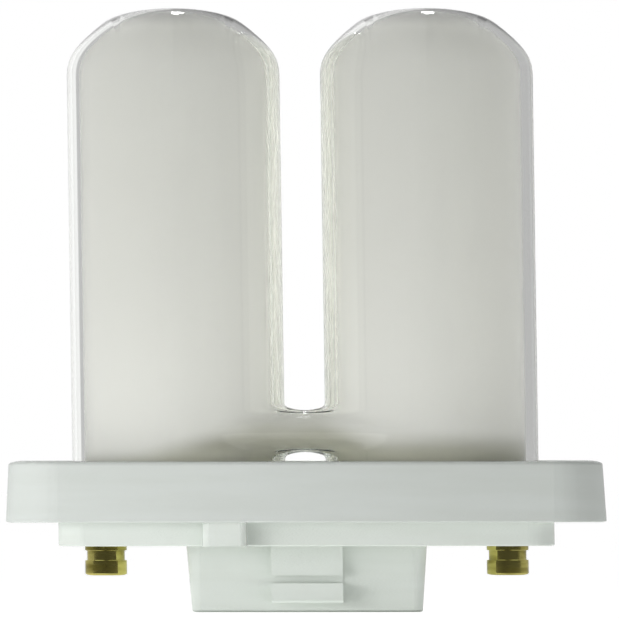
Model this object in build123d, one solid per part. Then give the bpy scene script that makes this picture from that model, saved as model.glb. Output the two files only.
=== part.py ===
from build123d import *
import math
import os

# Double twin-tube compact fluorescent lamp with a four-pin plug-in base.
# Millimetres. The lamp stands on the foot of its post: the origin is the middle of that foot,
# +Z runs up the lamp, and the front (-Y) is the side where the glass bridge joins the two tubes.

# Overall
LAMP_LENGTH = 146.0         # foot of the post to the crown of the bends

# Glass discharge tube: two U-shaped tubes side by side, joined by one bridge
TUBE_DIAMETER = 12.2
GLASS_WALL = 0.7
TUBE_PITCH = 14.5           # between tube axes, across the lamp and from front to back
BEND_WIDTH = 8.6            # across the crown of a bend, where the glass is drawn narrow
BEND_THICKNESS = 11.5       # through the crown of a bend, in the plane of the U
BEND_LEAD = 4.0             # length of straight leg that already narrows below a bend
BEND_ONSET = 3              # power of the narrowing: the higher, the nearer to the crown it sets in
BEND_STATIONS = 8           # steps between the sections that shape a bend
LEAD_STATIONS = 1           # and along each narrowing stretch of leg
BRIDGE_DIAMETER = 10.2
BRIDGE_RISE = 7.3           # bridge axis above the top face of the collar
BRIDGE_FLAT = 0.3           # unrounded length left in the middle of the bridge
LEG_DEPTH = 8.5             # how far the legs reach into the collar
END_WALL = 1.4              # glass that closes the foot of a leg
SEAL_TAPER = 2.0            # rear legs flatten over this length into their press seals
SEAL_LENGTH = 2.0
SEAL_WIDTH = 11.0
SEAL_THICKNESS = 3.2

# Moulded collar that holds the four legs
COLLAR_WIDTH = 34.4         # over the lower rim
COLLAR_HEIGHT = 14.75
COLLAR_DRAFT = 0.8          # degrees
COLLAR_CORNER = 3.0
COLLAR_EDGE = 1.0           # rounding round the top face
COLLAR_RIM_EDGE = 0.4       # rounding round the lower rim
COLLAR_WALL = 2.0
COLLAR_ROOF = 2.0
LEG_CLEARANCE = 0.2         # round each leg in the roof of the collar

# Cement that bonds the legs to the collar
CEMENT_DEPTH = 4.5

# Moulded plug: flange, plate and post in one piece
FLANGE_THICKNESS = 2.0
FLANGE_LEDGE = 0.9          # width of the collar's step that the flange seats on
FLANGE_CLEARANCE = 0.1
PLATE_WIDTH = 28.4
PLATE_HEIGHT = 5.75
PLATE_CORNER = 1.5
PLATE_WALL = 1.8
PLATE_FLOOR = 2.0
POST_WIDTH = 13.75          # where the post meets the plate
POST_HEIGHT = 16.0
POST_DRAFT = 1.0            # degrees
POST_CORNER = 0.8
POST_WALL = 1.8
POST_FOOT = 2.0
MOULD_EDGE = 0.4            # rounding of the plug's outer edges

# Latch rib on the front and back of the post, with the notch that a lampholder's spring drops into
LATCH_WIDTH = 4.1
LATCH_RISE = 0.9            # upper rib, proud of the post
NOSE_RISE = 1.7             # nose below the notch, proud of the post
NOSE_START = 2.3            # lower edge of the nose above the foot
NOSE_HEIGHT = 4.7
NOSE_LEAD_IN = 0.5
NOTCH_HEIGHT = 1.9

# Key ribs on the plate, which tell this wattage from its neighbours
KEY_WIDTH = 2.5
KEY_RISE = 1.8
KEY_OFFSET = 4.7            # middle of the key from the middle of the plate

# Brass contact pins, drilled from behind for the lead wires
PIN_DIAMETER = 2.4
PIN_LENGTH = 7.1            # below the plate
PIN_SPAN = 23.0             # left pins to right pins
PIN_ROW = 8.0               # front pins to rear pins
PIN_BORE = 1.3
PIN_BORE_DEPTH = 4.4        # from the upper end
PIN_NOSE_RADIUS = 0.5
PIN_BARREL = 3.6            # tip to waist
PIN_WAIST = 2.5             # length of the waist that a lampholder's contact grips
PIN_WAIST_DIAMETER = 2.15
PIN_CLEARANCE = 0.02
PIN_HEAD_DIAMETER = 3.6
PIN_HEAD_HEIGHT = 0.6
HEAD_CLEARANCE = 0.15       # round each head in its pocket in the plate
PIN_NECK = 0.6              # length of pin above its head
BOSS_DIAMETER = 5.0
BOSS_HEIGHT = 1.6           # above the floor of the plate

# Lead wires from the press seals to the pins
WIRE_DIAMETER = 0.5
WIRE_SPREAD = 4.4           # between the two wires of one seal
WIRE_STOP = 0.4             # end of a wire above the bottom of its pin's bore

# Heights and places that follow from the sizes above
SEAT_Z = POST_HEIGHT                                # lower face of the plate
RIM_Z = SEAT_Z + PLATE_HEIGHT                       # lower rim of the collar
COLLAR_TOP_Z = RIM_Z + COLLAR_HEIGHT
ROOF_Z = COLLAR_TOP_Z - COLLAR_ROOF                 # inner face of the collar's roof
LEG_END_Z = COLLAR_TOP_Z - LEG_DEPTH
SEAL_END_Z = LEG_END_Z - SEAL_TAPER - SEAL_LENGTH
BRIDGE_Z = COLLAR_TOP_Z + BRIDGE_RISE
TUBE_RADIUS = TUBE_DIAMETER / 2
AXIS_OFFSET = TUBE_PITCH / 2
SPRING_Z = LAMP_LENGTH - AXIS_OFFSET - BEND_THICKNESS / 2   # where the legs turn into the bends
FLOOR_Z = SEAT_Z + PLATE_FLOOR
BOSS_TOP_Z = FLOOR_Z + BOSS_HEIGHT
PIN_TIP_Z = SEAT_Z - PIN_LENGTH
PIN_TOP_Z = BOSS_TOP_Z + PIN_HEAD_HEIGHT + PIN_NECK
CAVITY_WIDTH = COLLAR_WIDTH - 2 * COLLAR_WALL
FLANGE_WIDTH = CAVITY_WIDTH + 2 * (FLANGE_LEDGE - FLANGE_CLEARANCE)
CAVITY_CORNER = max(COLLAR_CORNER - COLLAR_WALL, MOULD_EDGE)
LEG_PLACES = [(sx * AXIS_OFFSET, sy * AXIS_OFFSET) for sx in (-1, 1) for sy in (-1, 1)]
PIN_PLACES = {
    f"{row}_{hand}": (sx * PIN_SPAN / 2, sy * PIN_ROW / 2)
    for hand, sx in (("left", -1), ("right", 1))
    for row, sy in (("front", -1), ("rear", 1))
}


def upright(sketch, z, height, draft=0.0):
    """A sketch extruded upwards from height z, leaning inwards by the draft."""
    return extrude(Pos(0, 0, z) * sketch, amount=height, taper=draft)


def rounded_square(width, corner):
    """A square outline with rounded corners."""
    return RectangleRounded(width, width, corner)


def rod(x, y, radius, low, high):
    """A vertical round rod."""
    return Pos(x, y, low) * Cylinder(radius, high - low, align=(Align.CENTER, Align.CENTER, Align.MIN))


def bend_section(travel, inset):
    """Cross-section of a U at a distance of travel along its centreline from where it starts to narrow."""
    arc = math.pi * AXIS_OFFSET
    drawn = max(math.sin(math.pi * travel / (arc + 2 * BEND_LEAD)), 0) ** BEND_ONSET
    across = TUBE_RADIUS + (BEND_WIDTH / 2 - TUBE_RADIUS) * drawn - inset
    through = TUBE_RADIUS + (BEND_THICKNESS / 2 - TUBE_RADIUS) * drawn - inset
    along_arc = min(max(travel - BEND_LEAD, 0), arc)
    drop = abs(travel - BEND_LEAD - along_arc)          # down a straight leg, short of the bend or past it
    angle = along_arc / AXIS_OFFSET
    centre = (0, -AXIS_OFFSET * math.cos(angle), SPRING_Z + AXIS_OFFSET * math.sin(angle) - drop)
    onward = (0, math.sin(angle), math.cos(angle))
    return Plane(origin=centre, x_dir=(1, 0, 0), z_dir=onward) * Ellipse(across, through)


def bend(inset):
    """The bend of a U: sections lofted from one narrowing leg over the crown to the other."""
    arc = math.pi * AXIS_OFFSET
    lead_in = [BEND_LEAD * i / LEAD_STATIONS for i in range(LEAD_STATIONS)]
    turn = [BEND_LEAD + arc * i / BEND_STATIONS for i in range(BEND_STATIONS + 1)]
    lead_out = [arc + 2 * BEND_LEAD - travel for travel in reversed(lead_in)]
    return loft([bend_section(travel, inset) for travel in lead_in + turn + lead_out])


def u_tube(side, inset, low):
    """One U-shaped tube, drawn in by an inset, with its legs reaching down to a height."""
    x = side * AXIS_OFFSET
    top = SPRING_Z - BEND_LEAD
    legs = [rod(x, y, TUBE_RADIUS - inset, low, top) for y in (-AXIS_OFFSET, AXIS_OFFSET)]
    return (Pos(x, 0, 0) * bend(inset)).fuse(*legs, glue=True)


def bridge(inset):
    """The short tube that joins the two front legs."""
    middle = Pos(0, -AXIS_OFFSET, BRIDGE_Z) * Rot(0, 90, 0)
    return middle * Cylinder(BRIDGE_DIAMETER / 2 - inset, TUBE_PITCH)


def bridged_legs():
    """The stretch of the front legs round the bridge, with the glass flowed round where they meet."""
    low, high = BRIDGE_Z - BRIDGE_DIAMETER, BRIDGE_Z + BRIDGE_DIAMETER
    legs = [rod(x, -AXIS_OFFSET, TUBE_RADIUS, low, high) for x in (-AXIS_OFFSET, AXIS_OFFSET)]
    joined = bridge(0) + legs
    between = joined.edges().filter_by_position(Axis.X, -AXIS_OFFSET, AXIS_OFFSET, (False, False))
    meeting = between.filter_by_position(Axis.Z, low, high, (False, False))
    return fillet(meeting, (TUBE_PITCH - TUBE_DIAMETER - BRIDGE_FLAT) / 2)


def press_seal(side):
    """Flattened glass below a rear leg, which grips the lead-in wires."""
    place = Pos(side * AXIS_OFFSET, AXIS_OFFSET, 0)
    flat = Ellipse(SEAL_WIDTH / 2, SEAL_THICKNESS / 2)
    taper = loft([Pos(0, 0, LEG_END_Z - SEAL_TAPER) * flat, Pos(0, 0, LEG_END_Z) * Circle(TUBE_RADIUS)])
    return place * (taper + extrude(Pos(0, 0, SEAL_END_Z) * flat, amount=SEAL_LENGTH))


def discharge_tube():
    """The sealed glass vessel: both tubes, their bridge and their press seals, hollow all through."""
    glass = u_tube(-1, 0, LEG_END_Z) + u_tube(1, 0, LEG_END_Z) + bridged_legs()
    glass += [press_seal(-1), press_seal(1)]
    bottom = LEG_END_Z + END_WALL
    hollow = u_tube(-1, GLASS_WALL, bottom) + u_tube(1, GLASS_WALL, bottom) + bridge(GLASS_WALL)
    return glass - hollow


def base_collar():
    """Drafted square cover with four leg holes, open below, with a step for the plug's flange."""
    body = upright(rounded_square(COLLAR_WIDTH, COLLAR_CORNER), RIM_Z, COLLAR_HEIGHT, COLLAR_DRAFT)
    body = fillet(body.faces().sort_by(Axis.Z)[-1].edges(), COLLAR_EDGE)
    body = fillet(body.faces().sort_by(Axis.Z)[0].edges(), COLLAR_RIM_EDGE)
    cavity = upright(rounded_square(CAVITY_WIDTH, CAVITY_CORNER), RIM_Z, ROOF_Z - RIM_Z)
    step = rounded_square(CAVITY_WIDTH + 2 * FLANGE_LEDGE, CAVITY_CORNER + FLANGE_LEDGE)
    step = upright(step, RIM_Z, FLANGE_THICKNESS)
    holes = [rod(x, y, TUBE_RADIUS + LEG_CLEARANCE, ROOF_Z, COLLAR_TOP_Z) for x, y in LEG_PLACES]
    return body - cavity - step - holes


def basing_cement():
    """Slab of cement under the collar's roof, cast round the four legs."""
    slab = upright(rounded_square(CAVITY_WIDTH, CAVITY_CORNER), ROOF_Z - CEMENT_DEPTH, CEMENT_DEPTH)
    return slab - [rod(x, y, TUBE_RADIUS, ROOF_Z - CEMENT_DEPTH, ROOF_Z) for x, y in LEG_PLACES]


def post():
    """Drafted square post below the plate, standing on its foot."""
    outline = rounded_square(POST_WIDTH, POST_CORNER)
    body = extrude(Pos(0, 0, SEAT_Z) * outline, amount=-POST_HEIGHT, taper=POST_DRAFT)
    return fillet(body.faces().sort_by(Axis.Z)[0].edges(), MOULD_EDGE)


def latch_rib():
    """Latch rib on the front of the post: a nose with a lead-in, the spring's notch, and the rib above it."""
    face = -POST_WIDTH / 2
    nose_top = NOSE_START + NOSE_HEIGHT
    notch_top = nose_top + NOTCH_HEIGHT
    profile = Polyline(
        (0, NOSE_START),
        (face - NOSE_RISE + NOSE_LEAD_IN, NOSE_START),
        (face - NOSE_RISE, NOSE_START + NOSE_LEAD_IN),
        (face - NOSE_RISE, nose_top),
        (face, nose_top),
        (face, notch_top),
        (face - LATCH_RISE, notch_top),
        (face - LATCH_RISE, SEAT_Z),
        (0, SEAT_Z),
        close=True,
    )
    return extrude(Plane.YZ * make_face(profile), amount=LATCH_WIDTH / 2, both=True)


def key_rib():
    """Key rib on the front of the plate."""
    front = -PLATE_WIDTH / 2 - KEY_RISE
    rib = Pos(-KEY_OFFSET, front, SEAT_Z) * Box(
        KEY_WIDTH, PLATE_WIDTH / 2, PLATE_HEIGHT, align=(Align.CENTER, Align.MIN, Align.MIN)
    )
    return fillet(rib.edges().filter_by(Axis.Z).group_by(Axis.Y)[0], MOULD_EDGE)


def base_plug():
    """Flange, plate and post moulded in one hollow piece, with latch ribs, key ribs and pin bosses."""
    plate = upright(rounded_square(PLATE_WIDTH, PLATE_CORNER), SEAT_Z, PLATE_HEIGHT)
    plate = fillet(plate.faces().sort_by(Axis.Z)[0].edges(), MOULD_EDGE)
    flange_corner = CAVITY_CORNER + FLANGE_LEDGE - FLANGE_CLEARANCE
    flange = upright(rounded_square(FLANGE_WIDTH, flange_corner), RIM_Z, FLANGE_THICKNESS)
    rear = Rot(0, 0, 180)
    ribs = [latch_rib(), rear * latch_rib(), key_rib(), rear * key_rib()]
    body = plate + flange + post() + ribs

    top = RIM_Z + FLANGE_THICKNESS
    room_width = PLATE_WIDTH - 2 * PLATE_WALL
    room = upright(Rectangle(room_width, room_width), FLOOR_Z, top - FLOOR_Z)
    well_width = POST_WIDTH - 2 * POST_WALL - 2 * POST_HEIGHT * math.tan(math.radians(POST_DRAFT))
    well = upright(Rectangle(well_width, well_width), POST_FOOT, FLOOR_Z - POST_FOOT)
    body = body - room - well
    for x, y in PIN_PLACES.values():
        body += rod(x, y, BOSS_DIAMETER / 2, FLOOR_Z, BOSS_TOP_Z) & room
    for x, y in PIN_PLACES.values():
        body -= rod(x, y, PIN_DIAMETER / 2 + PIN_CLEARANCE, SEAT_Z, BOSS_TOP_Z)
        body -= rod(x, y, PIN_HEAD_DIAMETER / 2 + HEAD_CLEARANCE, BOSS_TOP_Z, top)
    return body


def contact_pin(x, y):
    """Brass pin: rounded barrel, waist, shank through the plate, head on its boss and bore for the wire."""
    radius, bore, head = PIN_DIAMETER / 2, PIN_BORE / 2, PIN_HEAD_DIAMETER / 2
    waist = PIN_WAIST_DIAMETER / 2
    slope = radius - waist                              # the waist's shoulders run at 45 degrees
    waist_low = PIN_TIP_Z + PIN_BARREL
    waist_high = waist_low + PIN_WAIST
    head_top = BOSS_TOP_Z + PIN_HEAD_HEIGHT
    bore_end = PIN_TOP_Z - PIN_BORE_DEPTH
    outline = Polyline(
        (0, PIN_TIP_Z),
        (radius, PIN_TIP_Z),
        (radius, waist_low),
        (waist, waist_low + slope),
        (waist, waist_high - slope),
        (radius, waist_high),
        (radius, BOSS_TOP_Z),
        (head, BOSS_TOP_Z),
        (head, head_top),
        (radius, head_top),
        (radius, PIN_TOP_Z),
        (bore, PIN_TOP_Z),
        (bore, bore_end),
        (0, bore_end),
        close=True,
    )
    section = make_face(outline)
    tip = section.vertices().sort_by_distance((radius, PIN_TIP_Z, 0))[0]
    section = fillet(tip, PIN_NOSE_RADIUS)
    return Pos(x, y, 0) * revolve(Plane.XZ * section, Axis.Z)


def lead_wire(x, y):
    """Wire from the press seal on one side of the lamp down into the bore of a pin on that side."""
    side = math.copysign(1, x)
    start_x = side * (AXIS_OFFSET + math.copysign(WIRE_SPREAD / 2, y))
    level = (SEAL_END_Z + PIN_TOP_Z) / 2
    route = FilletPolyline(
        (start_x, AXIS_OFFSET, SEAL_END_Z),
        (start_x, AXIS_OFFSET, level),
        (x, y, level),
        (x, y, PIN_TOP_Z - PIN_BORE_DEPTH + WIRE_STOP),
        radius=0.9 * (SEAL_END_Z - level),
    )
    start = Plane(origin=route @ 0, z_dir=route % 0)
    return sweep(start * Circle(WIRE_DIAMETER / 2), path=route)


pieces = {
    "discharge_tube": discharge_tube(),
    "base_collar": base_collar(),
    "basing_cement": basing_cement(),
    "base_plug": base_plug(),
}
for place, (x, y) in PIN_PLACES.items():
    pieces[f"contact_pin_{place}"] = contact_pin(x, y)
    pieces[f"lead_wire_{place}"] = lead_wire(x, y)

os.makedirs("parts", exist_ok=True)
for name, piece in pieces.items():
    export_step(piece, f"parts/{name}.step")
    print(name, f"{piece.volume:.1f} mm3")
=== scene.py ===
# %% [markdown]
# A plug-in compact fluorescent lamp, dressed for its portrait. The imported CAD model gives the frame: every
# piece keeps its place and size, in metres, with +Z up the lamp and the front towards -Y. The moulded base
# and the brass pins are right as they are and get finishes. The glass is modelled again, because a lit tube
# of glass needs an even skin of quads, a wall with two faces and the powder coating behind it.

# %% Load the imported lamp
import math

import bmesh
import bpy
from mathutils import Matrix, Vector


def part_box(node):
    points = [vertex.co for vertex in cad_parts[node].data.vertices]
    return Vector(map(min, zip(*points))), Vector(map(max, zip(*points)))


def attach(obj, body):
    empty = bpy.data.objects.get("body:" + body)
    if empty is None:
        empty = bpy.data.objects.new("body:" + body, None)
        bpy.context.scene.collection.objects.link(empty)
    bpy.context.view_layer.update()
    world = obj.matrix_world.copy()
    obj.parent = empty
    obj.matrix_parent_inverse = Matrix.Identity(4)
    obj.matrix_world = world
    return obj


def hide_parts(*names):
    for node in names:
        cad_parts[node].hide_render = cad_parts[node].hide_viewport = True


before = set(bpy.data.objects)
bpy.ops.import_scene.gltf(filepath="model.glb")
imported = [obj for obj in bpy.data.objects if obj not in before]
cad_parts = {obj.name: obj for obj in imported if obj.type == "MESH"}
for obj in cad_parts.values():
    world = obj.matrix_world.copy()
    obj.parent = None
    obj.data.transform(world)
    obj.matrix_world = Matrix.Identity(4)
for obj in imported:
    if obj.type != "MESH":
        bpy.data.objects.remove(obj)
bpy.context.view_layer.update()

MM = 0.001

# %% [markdown]
# The studio comes first. A lamp like this is photographed on plain white, so the floor is a pale sheet that
# reaches far behind it and only a little way in front. Its own colour takes the lamp's shadow, and a little
# light of its own, which only the camera and glass see, lifts it to white. Lighting the sheet harder would
# have spoilt the lamp, and a long sheet in front would have filled the pins with its reflection.


# %% Helpers for starting a piece and picking its parts
def start_piece():
    """Leaves edit mode and deselects everything, so that the next operator acts on new work alone."""
    if bpy.context.object and bpy.context.object.mode != "OBJECT":
        bpy.ops.object.mode_set(mode="OBJECT")
    bpy.ops.object.select_all(action="DESELECT")


def pick(piece, kind, wanted):
    """Selects, in edit mode, the vertices, edges or faces that pass a test."""
    bpy.ops.mesh.select_mode(type=kind)
    bpy.ops.mesh.select_all(action="DESELECT")
    mesh = bmesh.from_edit_mesh(piece.data)
    parts = {"VERT": mesh.verts, "EDGE": mesh.edges, "FACE": mesh.faces}[kind]
    chosen = [part for part in parts if wanted(part)]
    for part in chosen:
        part.select_set(True)
    bmesh.update_edit_mesh(piece.data)
    return len(chosen)


# %% Floor
FLOOR_FRONT, FLOOR_BACK = -0.25, 3.25
start_piece()
bpy.ops.mesh.primitive_plane_add(
    size=FLOOR_BACK - FLOOR_FRONT, location=(0, (FLOOR_FRONT + FLOOR_BACK) / 2, 0)
)
floor = bpy.context.object
floor.name = "studio_floor"
bpy.ops.object.transform_apply(location=True)
print("floor", tuple(round(side, 2) for side in floor.dimensions))

# %% [markdown]
# The camera stands straight in front of the lamp, level with its middle. The photograph shows no perspective,
# as if a long lens had taken it from far away, so the camera is orthographic. The photograph was also squeezed
# into a square: everything in it is 4.2 times wider than on the real lamp. The lamp keeps its true proportions
# here, and the squeeze is put into the camera instead. Its sideways axis leans into the depth of the scene, so
# that a step across the picture covers less of the lamp than a step up it. Such a lean can't be set as a turn
# or a scale, so it goes into the inverse matrix of the camera's parent. Views from other sides drop the parent
# and show the lamp unsqueezed.

# %% Camera
PICTURE_HEIGHT = 149.6 * MM
SQUEEZE = 4.221
LEVEL = math.radians(0.5)
LEAN = math.radians(0.2)
DISTANCE = 1.0
AIM_HEIGHT = 73.1 * MM
AIM_ASIDE = 0.36 * MM

back = Vector((0.0, -math.cos(LEVEL), math.sin(LEVEL)))
across = Vector((1.0, 0.0, 0.0))
upward = back.cross(across)
right = across * math.cos(LEAN) - upward * math.sin(LEAN)
top = upward * math.cos(LEAN) + across * math.sin(LEAN)
leaning = right / SQUEEZE + back * math.sqrt(1 - 1 / SQUEEZE**2)
aim = Vector((0.0, 0.0, AIM_HEIGHT)) + right * AIM_ASIDE
stand = aim + back * DISTANCE

lens = bpy.data.cameras.new("portrait_lens")
lens.type, lens.ortho_scale = "ORTHO", PICTURE_HEIGHT
camera = bpy.data.objects.new("portrait_camera", lens)
bpy.context.scene.collection.objects.link(camera)
camera.parent = floor
camera.matrix_parent_inverse = Matrix(
    [[leaning[i], top[i], back[i], stand[i]] for i in range(3)] + [[0.0, 0.0, 0.0, 1.0]]
)
bpy.context.scene.camera = camera
print("camera", round(stand.length, 2), "m away, picture", round(PICTURE_HEIGHT / MM, 1), "mm high")

# %% [markdown]
# The glass on the real lamp starts as two straight tubes. Each is heated and bent into a U, and the bend is
# blown in a mould, so its crown comes out narrower than its legs. The same order works here: a circle is
# extruded up one leg, spun over the bend and extruded down the other leg. A subdivision surface will smooth
# this coarse cage later, and draws every ring in a little, so the first circle is that much too large.

# %% One leg, extruded ring by ring
tube_low, tube_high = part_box("discharge_tube")
collar_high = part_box("base_collar")[1]
TUBE_RADIUS = 6.1 * MM
BEND_WIDTH = 8.6 * MM
BEND_THICKNESS = 11.5 * MM
BEND_LEAD = 4.0 * MM
LEG_END = collar_high.z - 8.5 * MM
AXIS = tube_high.x - TUBE_RADIUS
SPRING = tube_high.z - AXIS - BEND_THICKNESS / 2
BRIDGE = collar_high.z + 7.3 * MM
FIRST_ROW = 33 * MM
ROW = 0.7 * MM
ROWS_EACH_WAY = 10
NEAR = 0.01 * MM  # places closer than this count as one

SIDES = 48
drawn_in = (2 + math.cos(2 * math.pi / SIDES)) / 3
start_piece()
bpy.ops.mesh.primitive_circle_add(
    vertices=SIDES, radius=TUBE_RADIUS / drawn_in, location=(-AXIS, -AXIS, LEG_END)
)
glass = bpy.context.object
glass.name = "tube_glass"
bpy.ops.object.transform_apply(location=True)
bpy.ops.object.mode_set(mode="EDIT")
bpy.ops.mesh.select_all(action="SELECT")


def extrude_to(level, target):
    """Extrudes the picked ring upwards or downwards to a new level."""
    bpy.ops.mesh.extrude_region_move(TRANSFORM_OT_translate={"value": (0, 0, target - level)})
    return target


bridge_rows = [BRIDGE + row * ROW for row in range(-ROWS_EACH_WAY, ROWS_EACH_WAY + 1)]
plain_rows = [56 * MM, 66 * MM, 84 * MM, 108 * MM, SPRING - 1.5 * BEND_LEAD]
lead_rows = [SPRING - BEND_LEAD * quarter / 4 for quarter in (4, 3, 2, 1, 0)]
level = LEG_END
for target in [FIRST_ROW] + bridge_rows + plain_rows + lead_rows:
    level = extrude_to(level, target)
print("front leg with", len(glass.data.edges), "edges up to", round(level / MM, 2), "mm")

# %% The bend and the second leg
TURNS = 24
bpy.ops.mesh.spin(steps=TURNS, angle=math.pi, center=(-AXIS, 0, SPRING), axis=(1, 0, 0))
for target in lead_rows[-2::-1] + plain_rows[::-1] + [BRIDGE, FIRST_ROW, LEG_END]:
    level = extrude_to(level, target)
print("over the bend in", TURNS, "steps and down to", round(level / MM, 2), "mm")

# %% [markdown]
# The rear legs end in press seals, where the hot glass is pinched flat on the wires that carry the current in.
# They hide inside the base. Two more extrusions make one: the first ring is flattened as it goes down,
# the second carries the flat further.

# %% Press seal under the rear leg
SEAL_WIDTH, SEAL_THICKNESS = 11.0 * MM, 3.2 * MM
level = extrude_to(level, (LEG_END + tube_low.z) / 2)
bpy.ops.transform.resize(
    value=(SEAL_WIDTH / TUBE_RADIUS / 2, SEAL_THICKNESS / TUBE_RADIUS / 2, 1),
    center_override=(-AXIS, AXIS, level),
)
level = extrude_to(level, tube_low.z)
bpy.ops.mesh.edge_face_add()
pick(glass, "EDGE", lambda edge: edge.is_boundary)
bpy.ops.mesh.edge_face_add()
print("one U, down to", round(level / MM, 2), "mm")

# %% [markdown]
# The mould holds the crown of the bend narrow. Every ring of the bend is therefore resized about its own
# middle, by a share that rises from nothing on the legs to all of it at the crown. Sideways and through
# the bend the glass narrows by different amounts, so the resize takes one factor for X and one for Y and Z.

# %% Draw the crown narrow
SHARPNESS = 3
NEAR_ANGLE = 0.01  # and so do directions, in radians
arc = math.pi * AXIS


def narrow(travel, middle, on_ring):
    """Resizes the ring at a distance along the bend about its middle."""
    share = math.sin(math.pi * travel / (arc + 2 * BEND_LEAD)) ** SHARPNESS
    sideways = 1 + (BEND_WIDTH / 2 / TUBE_RADIUS - 1) * share
    through = 1 + (BEND_THICKNESS / 2 / TUBE_RADIUS - 1) * share
    pick(glass, "VERT", on_ring)
    bpy.ops.transform.resize(value=(sideways, through, through), center_override=middle)


for leg in (-1, 1):
    for height in lead_rows[1:]:
        narrow(
            BEND_LEAD - SPRING + height,
            (-AXIS, leg * AXIS, height),
            lambda v: v.co.y * leg > 0 and abs(v.co.z - height) < NEAR,
        )
for turn in range(1, TURNS):
    angle = math.pi * turn / TURNS
    middle = (-AXIS, -AXIS * math.cos(angle), SPRING + AXIS * math.sin(angle))
    narrow(
        BEND_LEAD + AXIS * angle,
        middle,
        lambda v: v.co.z > SPRING and abs(math.atan2(v.co.z - SPRING, -v.co.y) - angle) < NEAR_ANGLE,
    )
print("crown narrowed to", round(BEND_WIDTH / MM, 2), "by", round(BEND_THICKNESS / MM, 2), "mm")

# %% The second U, a copy of the first
bpy.ops.mesh.select_all(action="SELECT")
bpy.ops.mesh.duplicate_move(TRANSFORM_OT_translate={"value": (2 * AXIS, 0, 0)})
bpy.ops.mesh.select_all(action="SELECT")
bpy.ops.mesh.normals_make_consistent(inside=False)
print("two Us of", len(bmesh.from_edit_mesh(glass.data).faces), "faces")

# %% [markdown]
# A short bridge joins the two front legs just above the base, so that the discharge can cross. The glass
# worker blows a hole in each leg and pulls the soft rims together. Here the faces that look at each other
# are deleted, a ring of as many vertices as each hole has stands midway, and bridge edge loops joins hole to
# ring on both sides. A little smoothing then lets the rims flow, as soft glass does.

# %% Holes in the front legs
HOLE = 5.55 * MM
FACING = 0.3


def off_bridge(place):
    """Distance of a point from the line through the middle of the bridge."""
    return math.hypot(place.y + AXIS, place.z - BRIDGE)


def in_hole(face):
    """Whether a face of a front leg looks at the other front leg, close to the bridge."""
    place = face.calc_center_median()
    inwards = face.normal.x * place.x < -FACING * abs(place.x)
    return inwards and place.y < 0 and off_bridge(place) < HOLE


holes = pick(glass, "FACE", in_hole)
bpy.ops.mesh.delete(type="FACE")
rims = pick(glass, "EDGE", lambda edge: edge.is_boundary)
print(holes, "faces out,", rims // 2, "edges round each hole")

# %% The bridge between them
NECK = 5.0 * MM
RIM = 5.6 * MM
RIM_BAND = 1.0 * MM
OFF_MIDDLE = 0.1 * MM
bpy.ops.mesh.select_all(action="DESELECT")
bpy.ops.mesh.primitive_circle_add(
    vertices=rims // 2, radius=NECK, location=(0, -AXIS, BRIDGE), rotation=(0, math.pi / 2, 0)
)


def on_neck(edge):
    return all(abs(v.co.x) < NEAR for v in edge.verts)


def on_hole(edge, leg):
    return edge.is_boundary and all(v.co.x * leg > OFF_MIDDLE for v in edge.verts)


def on_rim(v):
    """Whether a vertex lies on the soft rim between a front leg and the bridge."""
    between = OFF_MIDDLE < abs(v.co.x) < AXIS and v.co.y < -2 * OFF_MIDDLE
    return between and abs(off_bridge(v.co) - RIM) < RIM_BAND


for leg in (-1, 1):
    pick(glass, "EDGE", lambda edge: on_neck(edge) or on_hole(edge, leg))
    bpy.ops.mesh.bridge_edge_loops(type="SINGLE", number_cuts=1)
pick(glass, "VERT", on_rim)
bpy.ops.mesh.vertices_smooth(factor=0.5, repeat=4)
bpy.ops.mesh.select_all(action="SELECT")
bpy.ops.mesh.remove_doubles(threshold=0.001 * MM)
bpy.ops.mesh.normals_make_consistent(inside=False)
bpy.ops.object.mode_set(mode="OBJECT")
print("bridge joined, cage of", len(glass.data.polygons), "faces")

# %% Smooth the cage
smooth = glass.modifiers.new("smooth", "SUBSURF")
smooth.levels = smooth.render_levels = 1
bpy.ops.object.modifier_apply(modifier=smooth.name)
bpy.ops.object.shade_smooth()
saddle = max(v.co.z for v in glass.data.vertices if abs(v.co.x) < NEAR)
summit = max(v.co.z for v in glass.data.vertices)
print("glass", len(glass.data.polygons), "faces, top", round(summit / MM, 2))
print("bridge from", round((2 * BRIDGE - saddle) / MM, 2), "to", round(saddle / MM, 2), "mm")

# %% [markdown]
# The white of such a lamp isn't the glass but a powder on its inner face, a wall's thickness behind the
# surface. That gap is why a real tube shows a clear rim along its edges. The coating is a copy of the smoothed
# glass, shrunk along its normals by the wall and a hair more, so that the two faces never touch.

# %% The powder coating
WALL = 0.7 * MM
HAIR = 0.03 * MM
bpy.ops.object.duplicate()
coating = bpy.context.object
coating.name = "powder_coating"
bpy.ops.object.mode_set(mode="EDIT")
bpy.ops.mesh.select_all(action="SELECT")
bpy.ops.transform.shrink_fatten(value=-(WALL + HAIR))
bpy.ops.object.mode_set(mode="OBJECT")
print("coating out to", round(max(v.co.x for v in coating.data.vertices) / MM, 2), "mm")

# %% The wall of the glass
start_piece()
bpy.context.view_layer.objects.active = glass
glass.select_set(True)
wall = glass.modifiers.new("wall", "SOLIDIFY")
wall.thickness, wall.offset, wall.use_even_offset = WALL, -1.0, True
bpy.ops.object.modifier_apply(modifier=wall.name)
for piece in (glass, coating):
    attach(piece, "root")
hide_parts("discharge_tube")
print("glass wall", round(WALL / MM, 2), "mm,", len(glass.data.polygons), "faces")

# %% [markdown]
# Finishes are node graphs. To write their sums as sums, one small class wraps a socket: every operator on it
# lays the Math node that does the work. Its node method lays any other node, and feed links or sets an input.


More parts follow.
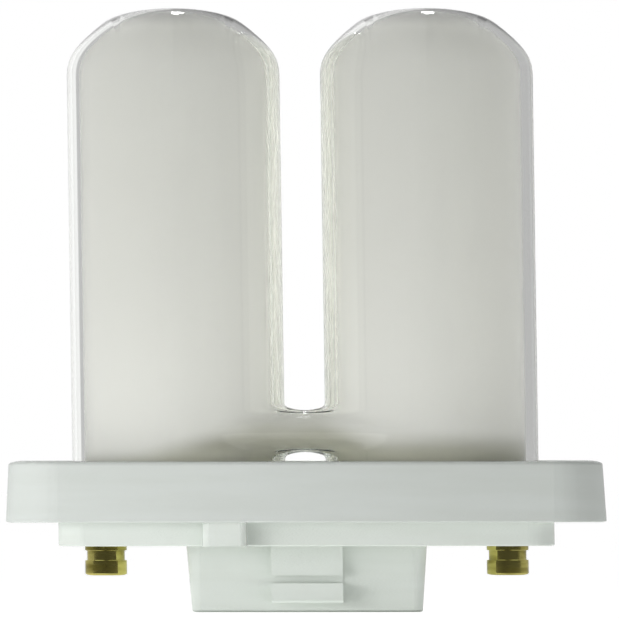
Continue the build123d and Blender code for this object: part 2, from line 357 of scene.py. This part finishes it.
# %% Sums on sockets
class Tone:
    """An output of a shader node, which can be added, multiplied and fed to other nodes."""

    def __init__(self, tree, socket):
        self.tree, self.socket = tree, socket

    def feed(self, socket, value):
        """Links another tone to an input, or sets the input to a plain value."""
        if isinstance(value, Tone):
            self.tree.links.new(value.socket, socket)
        else:
            socket.default_value = value

    def node(self, kind, feeds, out=0, **settings):
        """Lays any node with its settings and inputs, and gives back one of its outputs."""
        made = self.tree.nodes.new(kind)
        for name, value in settings.items():
            setattr(made, name, value)
        for name, value in feeds.items():
            self.feed(made.inputs[name], value)
        return Tone(self.tree, made.outputs[out])

    def sum(self, operation, first, second=0.0):
        return self.node("ShaderNodeMath", {0: first, 1: second}, operation=operation)

    def __add__(self, other):
        return self.sum("ADD", self, other)

    def __sub__(self, other):
        return self.sum("SUBTRACT", self, other)

    def __rsub__(self, other):
        return self.sum("SUBTRACT", other, self)

    def __mul__(self, other):
        return self.sum("MULTIPLY", self, other)

    def __abs__(self):
        return self.sum("ABSOLUTE", self)

    __radd__, __rmul__ = __add__, __mul__

    def most(self, other):
        return self.sum("MAXIMUM", self, other)

    def least(self, other):
        return self.sum("MINIMUM", self, other)

    def rise(self, low, high):
        """Goes smoothly from 0 at low to 1 at high."""
        feeds = {"Value": self, "From Min": low, "From Max": high}
        return self.node("ShaderNodeMapRange", feeds, interpolation_type="SMOOTHSTEP")

    def blend(self, first, second):
        """Mixes two colours: the first where this is 0, the second where it is 1."""
        return self.node("ShaderNodeMix", {0: self, 6: first, 7: second}, out=2, data_type="RGBA")


# %% Helpers for finishes
SEAM_REACH = 3 * MM
SEAM_SLOPE = 0.05


def finish(name):
    """A new material: gives it back with its Principled node and the coordinates of the object."""
    material = bpy.data.materials.new(name)
    material.use_nodes = True
    tree = material.node_tree
    shader = tree.nodes["Principled BSDF"]
    place = Tone(tree, tree.nodes.new("ShaderNodeTexCoord").outputs["Object"])
    return material, shader, place


def axes(place):
    """The three coordinates of a place, in metres."""
    split = place.node("ShaderNodeSeparateXYZ", {0: place})
    return [Tone(place.tree, socket) for socket in split.socket.node.outputs]


def grain(place, scale, detail=2.0, stretch=(1, 1, 1)):
    """Noise from 0 to 1, whose grain may be stretched along an axis."""
    spaced = place.node("ShaderNodeMapping", {"Vector": place, "Scale": stretch})
    return place.node("ShaderNodeTexNoise", {"Vector": spaced, "Scale": scale, "Detail": detail})


def colour(red, green, blue):
    """A colour written as it looks on a screen, from 0 to 255, turned into the light that it stands for."""
    return tuple((part / 255) ** 2.2 for part in (red, green, blue)) + (1.0,)


def crease(place):
    """How far the glass falls away on both sides of the mould's seam, which runs over the middle of a bend."""
    x, y, z = axes(place)
    return abs(abs(x) - AXIS).least(SEAM_REACH) * z.rise(122 * MM, 134 * MM) * SEAM_SLOPE


print("tools for finishes ready, crease at", round(AXIS / MM, 2), "mm from the middle")

# %% [markdown]
# The powder is matt and nearly white. It is flushed down the tube as a wash, which leaves faint runs along the
# legs and a cloudy tone. Round the bridge and at the foot of the front legs, the flame that worked the glass
# burnt it off, so the white fades there into the olive grey of bare glass. That grey is darkened as painted
# shade, for the unlit inside of the tube behind the bare glass, and just over the collar it is lightened again
# as painted light, for the light that the clear glass lets in. The crowns are painted a little grey, as painted
# shade for the dim light from overhead. The layer of powder also glows with the light behind it. A Translucent
# shader of one plain colour has half a share in the mix, and less where the powder is dark.

# %% Where the powder is burnt off, with painted shade of the inside
EDGE_HEIGHT = 36.5 * MM
EDGE_CLIMB = 9 * MM
EDGE_FALL = 4.6 * MM
EDGE_FADE = 3.5 * MM
RAGGED = 4 * MM
material, shader, place = finish("powder_coating")
x, y, z = axes(place)
clouds = grain(place, 120, 2)
climb = x.rise(-11.5 * MM, -2 * MM) * EDGE_CLIMB
fall = x.rise(0.5 * MM, 5 * MM) * EDGE_FALL
edge = climb - fall + EDGE_HEIGHT + (clouds - 0.5) * RAGGED
front = 1 - y.rise(-3 * MM, 1 * MM)
# Mask of the burnt-off powder, whose colour below is partly bare olive glass, partly painted shade of the
# inside.
burnt_off_and_shade = (1 - (z - edge).rise(-EDGE_FADE, EDGE_FADE)) * front
print("powder fades", round(EDGE_HEIGHT / MM, 1), "to", round((EDGE_HEIGHT + EDGE_CLIMB) / MM, 1), "mm up")

# %% Powder finish
SHARE_THROUGH = 0.5
SPECK = 0.008 * MM
runs = grain(place, 500, 3, (1, 1, 0.06))
specks = grain(place, 2600, 1)
white = (runs * 0.6 + clouds * 0.4).blend(colour(246, 246, 243), colour(252, 252, 250))
high = z.rise(36 * MM, 42 * MM)
# Olive of bare glass, painted darker as shade of the unlit inside of the tube.
bare_glass_and_painted_light = clouds.blend(colour(147, 147, 130), colour(161, 161, 145))
# Painted light: just over the collar the bare zone turns lighter, for the light that the clear glass lets in.
bare_glass_and_painted_light = high.blend(colour(199, 199, 181), bare_glass_and_painted_light)
# Painted shade: the crowns are painted grey for the dim light from overhead.
painted_crown_shade = z.rise(141 * MM, 144.5 * MM)
powder = painted_crown_shade.blend(burnt_off_and_shade.blend(white, bare_glass_and_painted_light), colour(180, 180, 180))
lets_through = SHARE_THROUGH - burnt_off_and_shade * (high * 0.12 + 0.12) - painted_crown_shade * 0.17
shader.inputs["Roughness"].default_value = 0.95
shader.inputs["Specular IOR Level"].default_value = 0.1
place.feed(shader.inputs["Base Color"], powder)
bump = place.node("ShaderNodeBump", {"Height": specks * SPECK - crease(place), "Distance": 1.0})
place.feed(shader.inputs["Normal"], bump)
tree = material.node_tree
glow = place.node("ShaderNodeBsdfTranslucent", {"Color": colour(249, 249, 246)})
layer = place.node("ShaderNodeMixShader", {0: lets_through, 1: Tone(tree, shader.outputs[0]), 2: glow})
place.feed(tree.nodes["Material Output"].inputs["Surface"], layer)
coating.data.materials.append(material)
print("powder finish with", len(tree.nodes), "nodes")

# %% [markdown]
# The glass itself is clear, with the faint green of soda-lime. Drawn tubing is never quite even, so a slow
# ripple bends what shows through it. Lamps couldn't shine through a refracting wall without much noise, so for
# shadow and diffuse rays the wall is simply open.

# %% Glass finish
RIPPLE = 0.002 * MM
material, shader, place = finish("tube_glass")
shader.inputs["Base Color"].default_value = (0.98, 0.99, 0.97, 1.0)
shader.inputs["Roughness"].default_value = 0.0
shader.inputs["IOR"].default_value = 1.5
shader.inputs["Transmission Weight"].default_value = 1.0
ripple = grain(place, 160, 1, (1, 1, 0.25))
bump = place.node("ShaderNodeBump", {"Height": ripple * RIPPLE - crease(place), "Distance": 1.0})
place.feed(shader.inputs["Normal"], bump)
tree = material.node_tree
ray = tree.nodes.new("ShaderNodeLightPath")
passing = Tone(tree, ray.outputs["Is Shadow Ray"]).most(Tone(tree, ray.outputs["Is Diffuse Ray"]))
clear = place.node("ShaderNodeBsdfTransparent", {})
seen = place.node("ShaderNodeMixShader", {0: passing, 1: Tone(tree, shader.outputs[0]), 2: clear})
place.feed(tree.nodes["Material Output"].inputs["Surface"], seen)
glass.data.materials.append(material)
print("glass finish with", len(tree.nodes), "nodes")

# %% [markdown]
# The collar and the plug are moulded from two slightly different cool whites, of which the plug's is paler.
# Moulded plastic isn't one flat tone: the melt leaves cloudy flow marks, the eroded mould a fine grain, and
# handling some grey. A low noise moves the colour, a finer one the gloss, and the finest one is the bump.


# %% Plastic finishes
def plastic(name, pale, dull, gloss):
    material, shader, place = finish(name)
    flow = grain(place, 90, 3, (1, 1, 2.5))
    haze = grain(place, 700, 2)
    skin = grain(place, 5200, 1)
    place.feed(shader.inputs["Base Color"], flow.rise(0.3, 0.75).blend(pale, dull))
    place.feed(shader.inputs["Roughness"], haze * 0.12 + gloss)
    bump = place.node("ShaderNodeBump", {"Height": skin, "Strength": 0.12, "Distance": 0.03 * MM})
    place.feed(shader.inputs["Normal"], bump)
    return material


def dress(names, material):
    """Puts one finish on CAD nodes, in their own material slots."""
    for name in names:
        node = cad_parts[name]
        for slot in node.material_slots:
            slot.material = material
        if not node.material_slots:
            node.data.materials.append(material)
    print(material.name, "on", len(names), "nodes")


dress(["base_collar"], plastic("collar_plastic", colour(198, 203, 199), colour(193, 198, 193), 0.42))
dress(["base_plug"], plastic("plug_plastic", colour(212, 218, 212), colour(207, 213, 206), 0.38))
dress(["basing_cement"], plastic("cement", colour(206, 200, 186), colour(186, 178, 162), 0.8))

# %% [markdown]
# The pins are drawn brass. Handling and storage tarnish them in patches, and the drawing leaves fine
# lines along them. The tarnish is a noise that darkens the metal and takes its shine.


# %% Metal finishes
def metal(name, bright, tarnish, shine):
    material, shader, place = finish(name)
    shader.inputs["Metallic"].default_value = 1.0
    patches = grain(place, 420, 4)
    lines = grain(place, 2400, 1, (1, 1, 0.05))
    stain = patches.rise(0.4, 0.7)
    place.feed(shader.inputs["Base Color"], stain.blend(bright, tarnish))
    place.feed(shader.inputs["Roughness"], stain * 0.08 + lines * 0.05 + shine)
    bump = place.node("ShaderNodeBump", {"Height": lines, "Strength": 0.15, "Distance": 0.02 * MM})
    place.feed(shader.inputs["Normal"], bump)
    return material


pin_names = [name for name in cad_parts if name.startswith("contact_pin")]
wire_names = [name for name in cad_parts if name.startswith("lead_wire")]
dress(pin_names, metal("pin_brass", colour(222, 211, 122), colour(158, 148, 76), 0.05))
dress(wire_names, metal("lead_metal", colour(190, 184, 172), colour(150, 142, 128), 0.3))

# %% [markdown]
# The light in the photograph is soft and comes from all sides, also from below, as on a light table: the steps
# under the collar and the plate are bright in it, and the crowns of the bends are grey. So a sheet of light
# lies under the lamp. A small box close to the base on the left lets the flat collar fade from left to right,
# and a taller one lights the tubes. A slim one behind the lamp shines into the gap between them. These four
# only shine and are never seen. Two boxes above put the bright spots on the bends.


# %% Lamps
def soft_box(name, place, target, width, height, watts):
    lamp = bpy.data.lights.new(name, "AREA")
    lamp.shape, lamp.size, lamp.size_y, lamp.energy = "RECTANGLE", width, height, watts
    box = bpy.data.objects.new(name, lamp)
    bpy.context.scene.collection.objects.link(box)
    box.location = place
    box.rotation_euler = (Vector(target) - Vector(place)).to_track_quat("-Z", "Y").to_euler()
    return box


unseen = [
    soft_box("light_table", (0, 0, 0.5 * MM), (0, 0, 1), width=0.5, height=0.5, watts=0.47),
    soft_box("left_strip", (-0.07, -0.10, 0.13), (0, 0, 0.125), width=0.06, height=0.12, watts=0.021),
    soft_box("low_left", (-0.035, -0.055, 0.034), (0, -0.015, 0.026), width=0.03, height=0.03, watts=0.0105),
    soft_box("slit_light", (0, 0.032, 0.09), (0, 0, 0.09), width=0.006, height=0.1, watts=0.034),
]
for box in unseen:
    box.visible_camera = box.visible_glossy = box.visible_transmission = False
soft_box("rear_box", (0.02, 0.30, 0.45), (0, 0, 0.10), width=0.10, height=0.05, watts=0.3)
soft_box("overhead", (-0.01, -0.05, 0.65), (0, 0, 0.14), width=0.05, height=0.05, watts=0.06)
print("lamps", [lamp.name for lamp in bpy.data.lights])

# %% [markdown]
# The room is painted into the world, by direction. For plain light it is brightest behind the lamp and darker
# in front, on the right and overhead. Mirrors and glass get a room of their own: white behind the lamp only,
# and dim beside and before it, which draws the fine lines along the glass and the dark bands on the pins. What
# the camera sees past the lamp is white. Rays that the powder lets through count as diffuse and transmitted
# rays at once, and they get the plain light.

# %% Room
FRONT_LIGHT, REAR_LIGHT = 0.3, 1.02
RIGHT_SHADE, OVERHEAD_SHADE = 0.62, 0.35
MIRROR_FRONT, MIRROR_REAR = 0.07, 0.45
GLASS_LEAST = 0.5
WHITE_TURN = math.radians(14)
world = bpy.data.worlds.new("studio")
bpy.context.scene.world = world
world.use_nodes = True
tree = world.node_tree
ray = tree.nodes.new("ShaderNodeLightPath")
direction = Tone(tree, tree.nodes.new("ShaderNodeTexCoord").outputs["Generated"])
seen = Tone(tree, ray.outputs["Is Camera Ray"])
clear_of_powder = 1 - Tone(tree, ray.outputs["Is Diffuse Ray"])
through = Tone(tree, ray.outputs["Is Transmission Ray"]) * clear_of_powder
mirrored = Tone(tree, ray.outputs["Is Glossy Ray"]).most(through)
x, y, z = axes(direction)
white_wall = (y * math.cos(WHITE_TURN) - x * math.sin(WHITE_TURN)).rise(0.9, 0.94)
walls = y.rise(-0.9, 0.1) * (REAR_LIGHT - FRONT_LIGHT) + FRONT_LIGHT
walls = walls * (1 - x.rise(0.1, 0.9) * RIGHT_SHADE)
soft_room = walls * (1 - z.rise(0.4, 1.0) * OVERHEAD_SHADE)
dim_room = y.rise(-0.3, 0.5) * (MIRROR_REAR - MIRROR_FRONT) + MIRROR_FRONT
mirror_room = white_wall.most(dim_room.most(through * GLASS_LEAST))
room = mirrored.blend(soft_room, mirror_room)
room.feed(tree.nodes["Background"].inputs["Color"], seen.blend(room, (1, 1, 1, 1)))
print("room with", len(tree.nodes), "nodes")

# %% Floor finish and bounces
FLOOR_GLOW = 0.49
material, shader, place = finish("studio_floor")
paper = grain(place, 30, 2)
place.feed(shader.inputs["Base Color"], paper.blend((0.86, 0.86, 0.86, 1), (0.9, 0.9, 0.9, 1)))
shader.inputs["Roughness"].default_value = 0.9
ray = place.tree.nodes.new("ShaderNodeLightPath")
looked_at = Tone(place.tree, ray.outputs["Is Camera Ray"])
clear_of_powder = 1 - Tone(place.tree, ray.outputs["Is Diffuse Ray"])
looked_at = looked_at.most(Tone(place.tree, ray.outputs["Is Transmission Ray"]) * clear_of_powder)
own_light = looked_at.blend((0, 0, 0, 1), (FLOOR_GLOW, FLOOR_GLOW, FLOOR_GLOW, 1))
place.feed(shader.inputs["Emission Color"], own_light)
shader.inputs["Emission Strength"].default_value = 1.0
floor.data.materials.append(material)

# Light goes to and fro many times between white tubes, so it is followed further than usual.
cycles = bpy.context.scene.cycles
cycles.max_bounces = cycles.diffuse_bounces = 16
cycles.transparent_max_bounces = 64
bpy.context.scene.view_settings.view_transform = "Standard"
print("floor ready, light followed through", cycles.max_bounces, "bounces")
